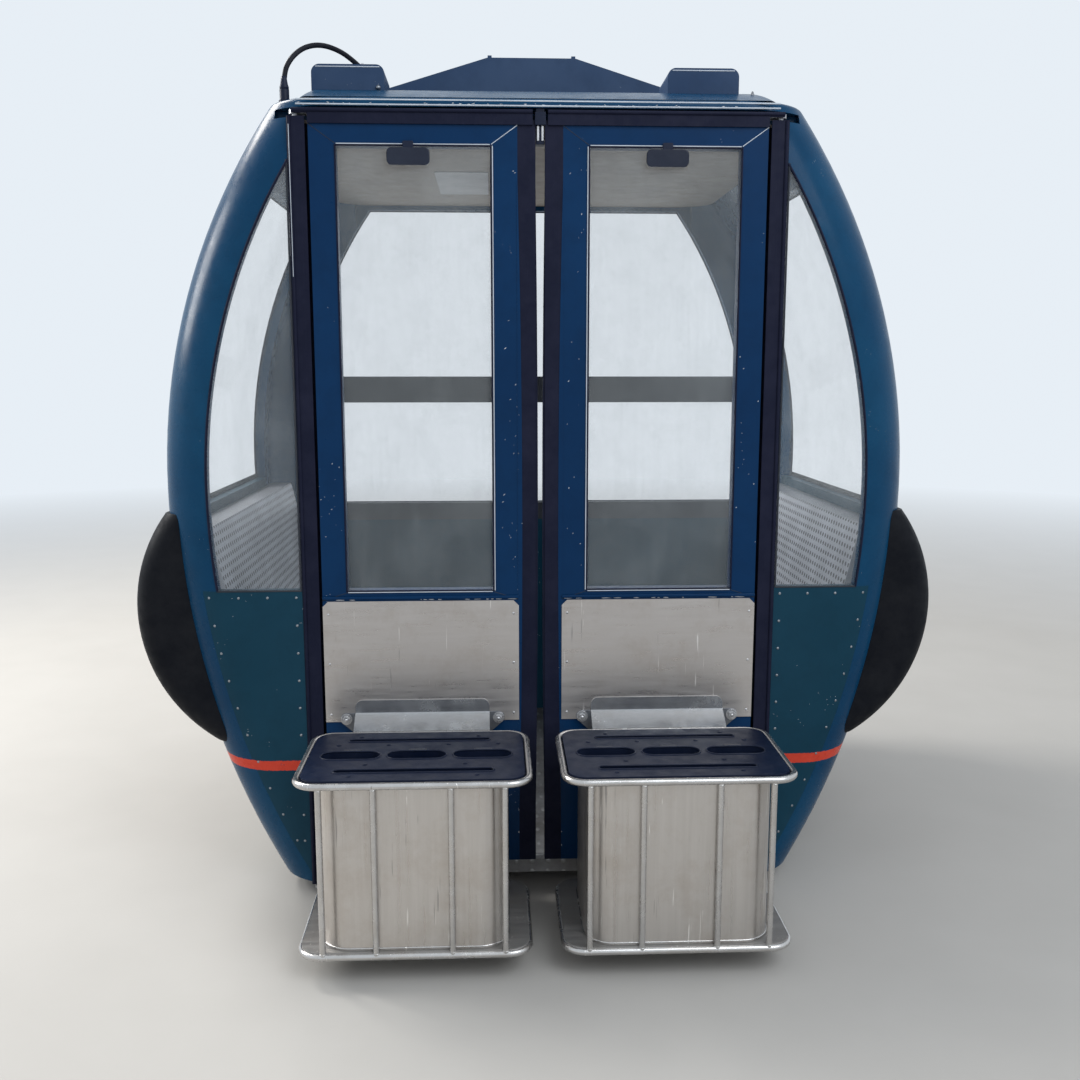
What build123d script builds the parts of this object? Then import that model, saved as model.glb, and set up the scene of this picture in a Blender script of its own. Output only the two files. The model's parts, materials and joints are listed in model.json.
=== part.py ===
from build123d import *
import math
import os

os.makedirs("parts", exist_ok=True)

# Cable car cabin with two door leaves, each with a ski basket.
# Millimetres. X runs along the rope, the doors face -Y, Z is up.
# Heights are measured up from the underside of the cabin, and level() turns
# them into Z, because the origin lies on the hanger's seat on the roof beam.

# Cabin body
MOUNT_HEIGHT = 2310
WAIST_HEIGHT = 1080
WAIST_HALF = 995
UPPER_RADIUS = 1686
LOWER_RADIUS = 2250
BODY_DEPTH = 1400
ROOF_EDGE = 2054
CORNER_RADIUS = 150
WALL = 35
FIT = 0.3

# Posts, panels and windows
POST_UPPER_WIDTH = 135
POST_LOWER_WIDTH = 95
POST_END_REACH = 200
BELT_HEIGHT = 818
END_SILL_HEIGHT = 1000
END_WINDOW_TOP = 1900
REAR_SILL_TOP = 883
REAR_BAR_BOTTOM = 1270
REAR_BAR_TOP = 1360
REAR_WINDOW_TOP = 1975
GLASS = 6
GLASS_INSET = 6

# Floor, roof and ceiling
FLOOR_TOP = 55
SILL_RECESS = 50
SILL_PLATE = 4
CEILING_THICKNESS = 15
FRAME_BOTTOM = 2006
FRAME_WIDTH = 110
CAP_RAIL = 24
CAP_EDGE = 16
SLOT_HALF = 660
SLOT_DEPTH = 75
ROOF_CROWN = 2180
ROOF_SKIN = 25
DOME_HALF_LENGTH = 612
DOME_HALF_DEPTH = 690
DOME_EDGE = 40

# Doors
OPENING_HALF = 624
JAMB_GAP = 8
JAMB_STRIP = 6
JAMB_RETURN = 6
LEAF_OUTER_EDGE = 572
LEAF_INNER_EDGE = 57
LEAF_BOTTOM = 60
LEAF_TOP = 2000
LEAF_THICKNESS = 45
STILE_WIDTH = 65
DOOR_WINDOW_BOTTOM = 816
DOOR_WINDOW_TOP = 1938
SEAL_WIDTH = 45
SEAL_THICKNESS = 28
KICK_BOTTOM = 461
KICK_TOP = 789
KICK_SHEET = 3
KICK_CHAMFER = 14

# Door gear
PIVOT_X = 604
PIVOT_DEPTH = 18
PIN_DEPTH = 28
SHAFT_DIAMETER = 16
PIN_DIAMETER = 12
PIN_ENGAGEMENT = 25
RUNNING_CLEARANCE = 0.5
ARM_LENGTH = 280
ARM_WIDTH = 30
ARM_THICKNESS = 10
ARM_GAP = 6
BEARING_WIDTH = 32
BEARING_DEPTH = 34
BEARING_HEIGHT = 34

# Ski baskets
BASKET_WIDTH = 562
BASKET_DEPTH = 370
BASKET_STANDOFF = 60
BASKET_TUBE = 17
BASKET_BAR = 15
BASKET_CORNER = 60
BASKET_TOP = 445
BASKET_BOTTOM = 24
FRONT_BAR_OFFSETS = (-215, -90, 90, 215)
REAR_BAR_OFFSETS = (-150, 150)
LINER_WIDTH = 447
LINER_SHEET = 2
LINER_CORNER = 70
TOP_PLATE = 20
TRAY_SHEET = 3
BRACKET_WIDTH = 357
BRACKET_SHEET = 4
BRACKET_TOP = 521
BRACKET_FOLD = 487
BRACKET_BOTTOM = 90
BRACKET_CORNER = 20

# Bumpers
BUMPER_TOP = 1015
BUMPER_MIDDLE = 750
BUMPER_BOTTOM = 390
BUMPER_REACH = 1082
BUMPER_HALF_DEPTH = 660
BUMPER_EDGE = 60

# Benches
SEAT_HEIGHT = 450
SEAT_FRONT = 360
SEAT_SHEET = 25
SEAT_LIP = 70
SEAT_HALF_LENGTH = 600
BACK_FOOT = 765
BACK_TOP_X = 885
BACK_TOP = 970
BACK_SHEET = 25
STAY_THICKNESS = 20
STAY_SPACING = 700
STAY_FRONT = 470
STAY_FOOT = 180

# Roof gear
BEAM_FLAT = 262
BEAM_RUN = 404
BEAM_END_HEIGHT = 2187
BEAM_DEPTH = 180
BEAM_PLATE = 14
RIB_THICKNESS = 12
RIB_RISE = 6
HANGER_BOLT = 18
HANGER_SPACING_X = 160
HANGER_SPACING_Y = 100
VENT_WIDTH = 190
VENT_DEPTH = 150
VENT_TOP = 2178
VENT_Y = -430
VENT_CORNER = 22
GLAND_BASE = 30
GLAND_BASE_HEIGHT = 12
GLAND_NECK = 24
CABLE_DIAMETER = 13
CABLE_BOSS = 26
CABLE_BOSS_LENGTH = 18
SKID_WIDTH = 50
SKID_HEIGHT = 45
SKID_LENGTH = 1150
SKID_SPACING = 640
SKID_CHAMFER = 30

HALF_DEPTH = BODY_DEPTH / 2
SIDES = (("left", -1), ("right", 1))
# side, X of the box's middle
VENTS = (("left", -495), ("right", 441))
FACES = (("front", -1), ("rear", 1))


def level(height):
    """Z of a height above the cabin's underside."""
    return height - MOUNT_HEIGHT


# Route of the roof cable: X, Y, height above the underside
CABLE_ROUTE = [
    Vector(x, y, level(height))
    for x, y, height in (
        (-645, -590, 2092),
        (-645, -590, 2132),
        (-630, -573, 2172),
        (-600, -549, 2206),
        (-560, -518, 2222),
        (-517, -485, 2216),
        (-485, -456, 2199),
        (-470, -441, 2187),
    )
]


def half_width(height, inset=0):
    """Half the cabin's width at a height, on a skin drawn in by inset."""
    radius = UPPER_RADIUS if height >= WAIST_HEIGHT else LOWER_RADIUS
    rise = height - WAIST_HEIGHT
    return WAIST_HALF - radius + math.sqrt((radius - inset) ** 2 - rise**2)


def flank(side, inset, bottom, top):
    """Arcs of one side of the egg-shaped outline, bottom to top."""
    stops = [bottom, top]
    if bottom < WAIST_HEIGHT < top:
        stops.insert(1, WAIST_HEIGHT)
    for low, high in zip(stops, stops[1:]):
        heights = (low, (low + high) / 2, high)
        ThreePointArc(*((side * half_width(height, inset), level(height)) for height in heights))


def outline(inset, bottom, top):
    """Closed outline of the cabin between two heights, drawn flat for Plane.XZ."""
    with BuildSketch() as shape:
        with BuildLine():
            flank(1, inset, bottom, top)
            flank(-1, inset, bottom, top)
            Line((half_width(top, inset), level(top)), (-half_width(top, inset), level(top)))
            Line((half_width(bottom, inset), level(bottom)), (-half_width(bottom, inset), level(bottom)))
        make_face()
    return shape.sketch


def hull(inset):
    """Solid cabin body, drawn in from the outer skin by inset."""
    with BuildPart() as body:
        with BuildSketch(Plane.XZ):
            add(outline(inset, inset, ROOF_EDGE - inset))
        extrude(amount=HALF_DEPTH - inset, both=True)
        fillet(body.edges().filter_by(GeomType.CIRCLE), CORNER_RADIUS - inset)
    return body.part


def box_between(x, y, height, mode=Mode.ADD):
    """Box from pairs of limits; the heights are above the underside."""
    centre = ((x[0] + x[1]) / 2, (y[0] + y[1]) / 2, level((height[0] + height[1]) / 2))
    with Locations(centre):
        Box(abs(x[1] - x[0]), abs(y[1] - y[0]), abs(height[1] - height[0]), mode=mode)


def finish(part, name):
    part.label = name
    export_step(part, f"parts/{name}.step")


outer = hull(0)
inner = hull(WALL)
with BuildPart() as skin_builder:
    add(outer)
    add(inner, mode=Mode.SUBTRACT)
skin = skin_builder.part
with BuildPart() as pane_builder:
    add(hull(GLASS_INSET))
    add(hull(GLASS_INSET + GLASS), mode=Mode.SUBTRACT)
pane_skin = pane_builder.part


def between(inset, bottom, top, y, x_from=0):
    """Both sides' solid between two heights inside the outline, from |X| = x_from outward."""
    with BuildPart() as region:
        with BuildSketch(Plane.XZ):
            add(outline(inset, bottom, top))
        extrude(amount=BODY_DEPTH, both=True)
        box_between((-BODY_DEPTH, BODY_DEPTH), y, (bottom, top), Mode.INTERSECT)
        if x_from:
            box_between((-x_from, x_from), (-BODY_DEPTH, BODY_DEPTH), (bottom, top), Mode.SUBTRACT)
    return region.part


def half_space(side):
    """Everything on one side of the cabin's middle."""
    with BuildPart() as space:
        box_between((0, side * BODY_DEPTH), (-BODY_DEPTH, BODY_DEPTH), (-BODY_DEPTH, 2 * BODY_DEPTH))
    return space.part


def make_posts():
    for face, y_side in FACES:
        for name, side in SIDES:
            with BuildPart() as post:
                add(skin)
                box_between(
                    (side * OPENING_HALF, side * (WAIST_HALF + WALL)),
                    (y_side * (HALF_DEPTH - POST_END_REACH), y_side * (HALF_DEPTH + WALL)),
                    (0, FRAME_BOTTOM),
                    Mode.INTERSECT,
                )
                with BuildSketch(Plane.XZ):
                    add(outline(POST_UPPER_WIDTH, BELT_HEIGHT, FRAME_BOTTOM))
                    add(outline(POST_LOWER_WIDTH, 0, BELT_HEIGHT))
                extrude(amount=BODY_DEPTH, both=True, mode=Mode.SUBTRACT)
            finish(post.part, f"corner_post_{face}_{name}")


def make_side_walls():
    """Lower panels and windows beside the doors."""
    front = (-HALF_DEPTH - WALL, -HALF_DEPTH + CORNER_RADIUS)
    for name, side in SIDES:
        with BuildPart() as panel:
            add(skin)
            lower = between(POST_LOWER_WIDTH + FIT, 0, BELT_HEIGHT, front, OPENING_HALF)
            add(lower, mode=Mode.INTERSECT)
            add(half_space(side), mode=Mode.INTERSECT)
            box_between(
                (-BODY_DEPTH, BODY_DEPTH), (WALL - HALF_DEPTH, 0), (-WALL, WALL), Mode.SUBTRACT
            )
        finish(panel.part, f"front_panel_{name}")
        with BuildPart() as window:
            add(pane_skin)
            upper = between(POST_UPPER_WIDTH + FIT, BELT_HEIGHT, FRAME_BOTTOM, front, OPENING_HALF)
            add(upper, mode=Mode.INTERSECT)
            add(half_space(side), mode=Mode.INTERSECT)
        finish(window.part, f"side_window_{name}")


def make_end_walls():
    end_half = HALF_DEPTH - POST_END_REACH
    for name, side in SIDES:
        reach = (side * OPENING_HALF, side * (WAIST_HALF + WALL))
        with BuildPart() as panel:
            add(skin)
            box_between(reach, (-end_half, end_half), (0, END_SILL_HEIGHT), Mode.INTERSECT)
        finish(panel.part, f"end_panel_{name}")
        with BuildPart() as window:
            add(pane_skin)
            box_between(
                reach, (-end_half, end_half), (END_SILL_HEIGHT, END_WINDOW_TOP), Mode.INTERSECT
            )
        finish(window.part, f"end_window_{name}")


def make_rear_wall():
    rear = (HALF_DEPTH - CORNER_RADIUS, HALF_DEPTH + WALL)
    # node, skin that it is cut from, inset from the outline, bottom, top
    pieces = (
        ("rear_panel", skin, POST_LOWER_WIDTH, 0, BELT_HEIGHT),
        ("rear_sill", skin, POST_UPPER_WIDTH, BELT_HEIGHT, REAR_SILL_TOP),
        ("rear_window_lower", pane_skin, POST_UPPER_WIDTH, REAR_SILL_TOP, REAR_BAR_BOTTOM),
        ("rear_bar", skin, POST_UPPER_WIDTH, REAR_BAR_BOTTOM, REAR_BAR_TOP),
        ("rear_window_upper", pane_skin, POST_UPPER_WIDTH, REAR_BAR_TOP, REAR_WINDOW_TOP),
    )
    for name, source, inset, bottom, top in pieces:
        with BuildPart() as piece:
            add(source)
            add(between(inset + FIT, bottom, top, rear), mode=Mode.INTERSECT)
            box_between(
                (-BODY_DEPTH, BODY_DEPTH), (0, HALF_DEPTH - WALL), (-WALL, FLOOR_TOP), Mode.SUBTRACT
            )
        finish(piece.part, name)


def make_floor():
    sill_face = SILL_RECESS - HALF_DEPTH
    with BuildPart() as floor:
        box_between((-OPENING_HALF, OPENING_HALF), (sill_face, HALF_DEPTH - WALL), (0, FLOOR_TOP))
    finish(floor.part, "floor_pan")
    for name, y_side in FACES:
        y = y_side * SKID_SPACING / 2
        with BuildPart() as skid:
            box_between(
                (-SKID_LENGTH / 2, SKID_LENGTH / 2),
                (y - SKID_WIDTH / 2, y + SKID_WIDTH / 2),
                (-SKID_HEIGHT, 0),
            )
            ends = skid.edges().filter_by(Axis.Y).group_by(Axis.Z)[0]
            chamfer(ends, SKID_CHAMFER)
        finish(skid.part, f"skid_rail_{name}")


def dome(shrink):
    """Arched roof shape, smaller all round by shrink."""
    foot = DOME_HALF_DEPTH - shrink
    with BuildPart() as arch:
        with BuildSketch(Plane.YZ):
            with BuildLine():
                ThreePointArc(
                    (-foot, level(ROOF_EDGE)), (0, level(ROOF_CROWN - shrink)), (foot, level(ROOF_EDGE))
                )
                Line((-foot, level(ROOF_EDGE)), (foot, level(ROOF_EDGE)))
            make_face()
        extrude(amount=DOME_HALF_LENGTH - shrink, both=True)
        fillet(arch.edges().filter_by(GeomType.CIRCLE), DOME_EDGE - shrink)
    return arch.part


def make_roof():
    opening = OPENING_HALF - FRAME_WIDTH / 2
    end_half = HALF_DEPTH - POST_END_REACH
    with BuildPart() as frame:
        add(outer)
        box_between((-BODY_DEPTH, BODY_DEPTH), (-BODY_DEPTH, BODY_DEPTH), (FRAME_BOTTOM, ROOF_EDGE), Mode.INTERSECT)
        fillet(frame.faces().sort_by(Axis.Z)[-1].edges(), CAP_EDGE)
        box_between((-opening, opening), (-opening, opening), (FRAME_BOTTOM, ROOF_EDGE), Mode.SUBTRACT)
        box_between(
            (-SLOT_HALF, SLOT_HALF),
            (-HALF_DEPTH - WALL, SLOT_DEPTH - HALF_DEPTH),
            (FRAME_BOTTOM, ROOF_EDGE - CAP_RAIL),
            Mode.SUBTRACT,
        )
        with BuildPart(mode=Mode.PRIVATE) as headers:
            add(skin)
            add(between(0, END_WINDOW_TOP, FRAME_BOTTOM, (-end_half, end_half)), mode=Mode.INTERSECT)
        add(headers.part)
        with BuildPart(mode=Mode.PRIVATE) as rear_header:
            add(skin)
            rear = (HALF_DEPTH - CORNER_RADIUS, HALF_DEPTH + WALL)
            add(between(POST_UPPER_WIDTH + FIT, REAR_WINDOW_TOP, FRAME_BOTTOM, rear), mode=Mode.INTERSECT)
        add(rear_header.part)
    finish(frame.part, "roof_frame")

    with BuildPart() as ceiling:
        add(hull(WALL + FIT))
        box_between(
            (-BODY_DEPTH, BODY_DEPTH),
            (SILL_RECESS - HALF_DEPTH, BODY_DEPTH),
            (FRAME_BOTTOM - CEILING_THICKNESS, FRAME_BOTTOM),
            Mode.INTERSECT,
        )
    finish(ceiling.part, "ceiling")

    with BuildPart() as roof:
        add(dome(0))
        add(dome(ROOF_SKIN), mode=Mode.SUBTRACT)
    finish(roof.part, "roof_dome")


def make_beam():
    flat = BEAM_FLAT / 2
    end = flat + BEAM_RUN
    foot = ROOF_CROWN - ROOF_SKIN

    def section(inset, bottom):
        with BuildSketch() as shape:
            with BuildLine():
                Polyline(
                    (-end + 3 * inset, level(bottom)),
                    (-end + 3 * inset, level(BEAM_END_HEIGHT - inset)),
                    (-flat, level(MOUNT_HEIGHT - inset)),
                    (flat, level(MOUNT_HEIGHT - inset)),
                    (end - 3 * inset, level(BEAM_END_HEIGHT - inset)),
                    (end - 3 * inset, level(bottom)),
                    close=True,
                )
            make_face()
        return shape.sketch

    with BuildPart() as beam:
        with BuildSketch(Plane.XZ):
            add(section(0, foot))
        extrude(amount=BEAM_DEPTH / 2, both=True)
        with BuildSketch(Plane.XZ):
            add(section(BEAM_PLATE, foot))
        extrude(amount=BEAM_DEPTH / 2 - BEAM_PLATE, both=True, mode=Mode.SUBTRACT)
        for x_side in (-1, 1):
            x = x_side * (flat - RIB_THICKNESS / 2)
            box_between(
                (x - RIB_THICKNESS / 2, x + RIB_THICKNESS / 2),
                (-BEAM_DEPTH / 2, BEAM_DEPTH / 2),
                (foot, MOUNT_HEIGHT + RIB_RISE),
            )
        with GridLocations(HANGER_SPACING_X, HANGER_SPACING_Y, 2, 2):
            Hole(HANGER_BOLT / 2, depth=2 * BEAM_PLATE)
        add(dome(0), mode=Mode.SUBTRACT)
    finish(beam.part, "hanger_beam")


def make_vents():
    for name, x in VENTS:
        with BuildPart() as vent:
            box_between(
                (x - VENT_WIDTH / 2, x + VENT_WIDTH / 2),
                (VENT_Y - VENT_DEPTH / 2, VENT_Y + VENT_DEPTH / 2),
                (ROOF_EDGE + CAP_RAIL, VENT_TOP),
            )
            fillet(vent.edges().filter_by(Axis.Y).group_by(Axis.Z)[-1], VENT_CORNER)
            if name == "left":
                with BuildSketch(Plane(CABLE_ROUTE[-1], z_dir=CABLE_ROUTE[-1] - CABLE_ROUTE[-2])):
                    Circle(CABLE_BOSS / 2)
                extrude(amount=CABLE_BOSS_LENGTH)
            add(dome(0), mode=Mode.SUBTRACT)
        finish(vent.part, f"vent_box_{name}")


def make_cable():
    """Short cable that arches from the roof's front corner to the left box."""
    start = CABLE_ROUTE[0]
    with BuildPart() as gland:
        with BuildSketch(Plane((start.X, start.Y, level(ROOF_EDGE)))):
            RegularPolygon(GLAND_BASE / 2, 6)
        extrude(amount=GLAND_BASE_HEIGHT)
        with BuildSketch(Plane((start.X, start.Y, level(ROOF_EDGE + GLAND_BASE_HEIGHT)))):
            Circle(GLAND_NECK / 2)
        extrude(amount=start.Z - level(ROOF_EDGE + GLAND_BASE_HEIGHT))
    finish(gland.part, "cable_gland")

    runs = [b - a for a, b in zip(CABLE_ROUTE, CABLE_ROUTE[1:])]
    radii = []
    for before, after in zip(runs, runs[1:]):
        half_turn = math.radians(before.get_angle(after)) / 2
        radii.append(0.45 * min(before.length, after.length) / math.tan(half_turn))
    with BuildPart() as cable:
        with BuildLine() as path:
            FilletPolyline(*CABLE_ROUTE, radius=radii)
        with BuildSketch(Plane(path.line @ 0, z_dir=path.line % 0)):
            Circle(CABLE_DIAMETER / 2)
        sweep(path=path.line)
    ideal = math.pi * CABLE_DIAMETER**2 / 4 * path.wire().length
    print("cable radii", [round(radius) for radius in radii])
    print("cable volume over section times length", round(cable.part.volume / ideal, 4))
    finish(cable.part, "roof_cable")


def make_jambs():
    front = -HALF_DEPTH
    pivot_y = front + PIVOT_DEPTH
    edge = LEAF_OUTER_EDGE + JAMB_GAP
    for name, side in SIDES:
        with BuildPart() as jamb:
            box_between((side * edge, side * OPENING_HALF), (front, front + JAMB_STRIP), (0, FRAME_BOTTOM))
            box_between(
                (side * (OPENING_HALF - JAMB_RETURN), side * OPENING_HALF),
                (front, front + WALL),
                (0, FRAME_BOTTOM),
            )
            for low in (0, FRAME_BOTTOM - BEARING_HEIGHT):
                box_between(
                    (side * (OPENING_HALF - BEARING_WIDTH), side * OPENING_HALF),
                    (front, front + BEARING_DEPTH),
                    (low, low + BEARING_HEIGHT),
                )
            with Locations((side * PIVOT_X, pivot_y, level(FRAME_BOTTOM))):
                Hole(SHAFT_DIAMETER / 2 + RUNNING_CLEARANCE)
        finish(jamb.part, f"door_jamb_{name}")


def pin_x():
    return PIVOT_X - math.sqrt(ARM_LENGTH**2 - (PIN_DEPTH - PIVOT_DEPTH) ** 2)


def make_arms():
    """Two flat arms on one upright shaft, with a pin into the leaf at each."""
    pivot_y = PIVOT_DEPTH - HALF_DEPTH
    pin_y = PIN_DEPTH - HALF_DEPTH
    lower = -ARM_GAP - ARM_THICKNESS
    upper = FRAME_BOTTOM + ARM_GAP
    slant = math.degrees(math.asin((PIN_DEPTH - PIVOT_DEPTH) / ARM_LENGTH))
    for name, side in SIDES:
        pivot = (side * PIVOT_X, pivot_y)
        pin = (side * pin_x(), pin_y)
        with BuildPart() as arms:
            for bottom in (lower, upper):
                with BuildSketch(Plane.XY.offset(level(bottom))):
                    with Locations(((pivot[0] + pin[0]) / 2, (pivot_y + pin_y) / 2)):
                        SlotCenterToCenter(ARM_LENGTH, ARM_WIDTH, rotation=-side * slant)
                extrude(amount=ARM_THICKNESS)
            with BuildSketch(Plane.XY.offset(level(lower))):
                with Locations(pivot):
                    Circle(SHAFT_DIAMETER / 2)
            extrude(amount=upper + ARM_THICKNESS - lower)
            with BuildSketch(Plane.XY.offset(level(lower))):
                with Locations(pin):
                    Circle(PIN_DIAMETER / 2)
            extrude(amount=LEAF_BOTTOM + PIN_ENGAGEMENT - lower)
            with BuildSketch(Plane.XY.offset(level(LEAF_TOP - PIN_ENGAGEMENT))):
                with Locations(pin):
                    Circle(PIN_DIAMETER / 2)
            extrude(amount=upper + ARM_THICKNESS - LEAF_TOP + PIN_ENGAGEMENT)
        finish(arms.part, f"door_arms_{name}")


def make_leaves():
    front = -HALF_DEPTH
    for name, side in SIDES:
        outer_x = side * LEAF_OUTER_EDGE
        inner_x = side * LEAF_INNER_EDGE
        window_x = (side * (LEAF_OUTER_EDGE - STILE_WIDTH), side * (LEAF_INNER_EDGE + STILE_WIDTH))
        window_z = (DOOR_WINDOW_BOTTOM, DOOR_WINDOW_TOP)
        pin = (side * pin_x(), front + PIN_DEPTH)
        with BuildPart() as leaf:
            box_between((outer_x, inner_x), (front, front + LEAF_THICKNESS), (LEAF_BOTTOM, LEAF_TOP))
            box_between(window_x, (front, front + LEAF_THICKNESS), window_z, Mode.SUBTRACT)
            bore = PIN_DIAMETER / 2 + RUNNING_CLEARANCE
            depth = PIN_ENGAGEMENT + 2 * RUNNING_CLEARANCE
            for bottom in (LEAF_BOTTOM, LEAF_TOP - depth):
                with BuildSketch(Plane.XY.offset(level(bottom))):
                    with Locations(pin):
                        Circle(bore)
                extrude(amount=depth, mode=Mode.SUBTRACT)
        finish(leaf.part, f"door_frame_{name}")

        with BuildPart() as glass:
            box_between(window_x, (front + GLASS_INSET, front + GLASS_INSET + GLASS), window_z)
        finish(glass.part, f"door_glass_{name}")

        with BuildPart() as seal:
            edge = side * (LEAF_INNER_EDGE - SEAL_WIDTH)
            box_between((inner_x, edge), (front, front + SEAL_THICKNESS), (LEAF_BOTTOM, LEAF_TOP))
        finish(seal.part, f"door_seal_{name}")

        with BuildPart() as kick:
            box_between((outer_x, inner_x), (front - KICK_SHEET, front), (KICK_BOTTOM, KICK_TOP))
            corners = kick.edges().filter_by(Axis.Y).group_by(Axis.Z)[-1]
            chamfer(corners, KICK_CHAMFER)
        finish(kick.part, f"kick_plate_{name}")


def make_baskets():
    front = -HALF_DEPTH
    radius = BASKET_TUBE / 2
    rear_y = front - BASKET_STANDOFF
    half_x = BASKET_WIDTH / 2 - radius
    middle_y = rear_y - BASKET_DEPTH / 2
    half_y = BASKET_DEPTH / 2 - radius
    liner_depth = BASKET_DEPTH - 2 * BASKET_TUBE - 2 * FIT
    for name, side in SIDES:
        x = side * (LEAF_OUTER_EDGE + LEAF_INNER_EDGE) / 2
        with BuildPart() as cage:
            for height in (BASKET_BOTTOM, BASKET_TOP):
                with BuildLine(Plane((x, middle_y, level(height)))) as ring:
                    FilletPolyline(
                        (half_x, half_y),
                        (half_x, -half_y),
                        (-half_x, -half_y),
                        (-half_x, half_y),
                        close=True,
                        radius=BASKET_CORNER - radius,
                    )
                with BuildSketch(Plane(ring.line @ 0, z_dir=ring.line % 0)):
                    Circle(radius)
                sweep(path=ring.line)
            posts = [(x + dx, middle_y - half_y) for dx in FRONT_BAR_OFFSETS]
            posts += [(x + dx, middle_y + half_y) for dx in REAR_BAR_OFFSETS]
            with BuildSketch(Plane.XY.offset(level(BASKET_BOTTOM))):
                with Locations(*posts):
                    Circle(BASKET_BAR / 2)
            extrude(amount=BASKET_TOP - BASKET_BOTTOM)
        finish(cage.part, f"basket_cage_{name}")

        tray_bottom = BASKET_BOTTOM + radius
        plate_bottom = BASKET_TOP - TOP_PLATE / 2
        with BuildPart() as tray:
            with BuildSketch(Plane((x, middle_y, level(tray_bottom)))):
                RectangleRounded(2 * half_x, 2 * half_y, BASKET_CORNER - radius)
                with Locations((0, 0)):
                    SlotOverall(LINER_WIDTH * 0.6, BASKET_TUBE, mode=Mode.SUBTRACT)
            extrude(amount=TRAY_SHEET)
            with BuildSketch(Plane.XY.offset(level(tray_bottom))):
                with Locations(*posts):
                    Circle(BASKET_BAR / 2 + FIT)
            extrude(amount=TRAY_SHEET, mode=Mode.SUBTRACT)
        finish(tray.part, f"basket_tray_{name}")

        with BuildPart() as liner:
            with BuildSketch(Plane((x, middle_y, level(tray_bottom + TRAY_SHEET)))):
                RectangleRounded(LINER_WIDTH, liner_depth, LINER_CORNER)
                inner_size = (LINER_WIDTH - 2 * LINER_SHEET, liner_depth - 2 * LINER_SHEET)
                RectangleRounded(*inner_size, LINER_CORNER - LINER_SHEET, mode=Mode.SUBTRACT)
            extrude(amount=plate_bottom - tray_bottom - TRAY_SHEET)
        finish(liner.part, f"basket_liner_{name}")

        with BuildPart() as plate:
            width = BASKET_WIDTH - 2 * BASKET_TUBE - 2
            depth = BASKET_DEPTH - 2 * BASKET_TUBE - 2
            with BuildSketch(Plane((x, middle_y, level(plate_bottom)))):
                RectangleRounded(width, depth, BASKET_CORNER - BASKET_TUBE)
                with Locations((0, depth / 2 - 60)):
                    SlotOverall(360, 18, mode=Mode.SUBTRACT)
                with Locations((0, -depth / 2 + 60)):
                    SlotOverall(380, 22, mode=Mode.SUBTRACT)
                with GridLocations(162, 0, 3, 1):
                    SlotOverall(146, 56, mode=Mode.SUBTRACT)
            extrude(amount=TOP_PLATE)
        finish(plate.part, f"basket_top_{name}")

        with BuildPart() as bracket:
            back = front - KICK_SHEET
            reach = rear_y + FIT
            with BuildSketch(Plane.YZ.offset(x - BRACKET_WIDTH / 2)):
                with BuildLine():
                    Polyline(
                        (back, level(BRACKET_TOP)),
                        (back - BRACKET_SHEET, level(BRACKET_TOP)),
                        (back - BRACKET_SHEET, level(BRACKET_FOLD)),
                        (reach, level(BASKET_TOP + radius)),
                        (reach, level(BASKET_TOP - BASKET_TUBE)),
                        (reach + BRACKET_SHEET, level(BASKET_TOP - BASKET_TUBE)),
                        (reach + BRACKET_SHEET, level(BASKET_TOP + radius - BRACKET_SHEET)),
                        (back - BRACKET_SHEET, level(BRACKET_FOLD - 2 * BRACKET_SHEET)),
                        (back - BRACKET_SHEET, level(BRACKET_BOTTOM)),
                        (reach, level(BRACKET_BOTTOM)),
                        (reach, level(BRACKET_BOTTOM - BRACKET_SHEET)),
                        (back, level(BRACKET_BOTTOM - BRACKET_SHEET)),
                        close=True,
                    )
                make_face()
            extrude(amount=BRACKET_WIDTH)
            top_corners = bracket.edges().filter_by(Axis.Y).group_by(Axis.Z)[-1]
            fillet(top_corners, BRACKET_CORNER)
        finish(bracket.part, f"basket_bracket_{name}")


def make_bumpers():
    with BuildPart() as clear_of:
        add(hull(-FIT))
    for name, side in SIDES:
        root = side * OPENING_HALF
        with BuildPart() as bumper:
            with BuildSketch(Plane.XZ):
                with BuildLine():
                    top = (side * half_width(BUMPER_TOP), level(BUMPER_TOP))
                    bottom = (side * half_width(BUMPER_BOTTOM), level(BUMPER_BOTTOM))
                    ThreePointArc(top, (side * BUMPER_REACH, level(BUMPER_MIDDLE)), bottom)
                    Polyline(bottom, (root, level(BUMPER_BOTTOM)), (root, level(BUMPER_TOP)), top)
                make_face()
            extrude(amount=BUMPER_HALF_DEPTH, both=True)
            fillet(bumper.edges().filter_by(GeomType.CIRCLE), BUMPER_EDGE)
            add(clear_of.part, mode=Mode.SUBTRACT)
        finish(bumper.part, f"bumper_{name}")


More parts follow.
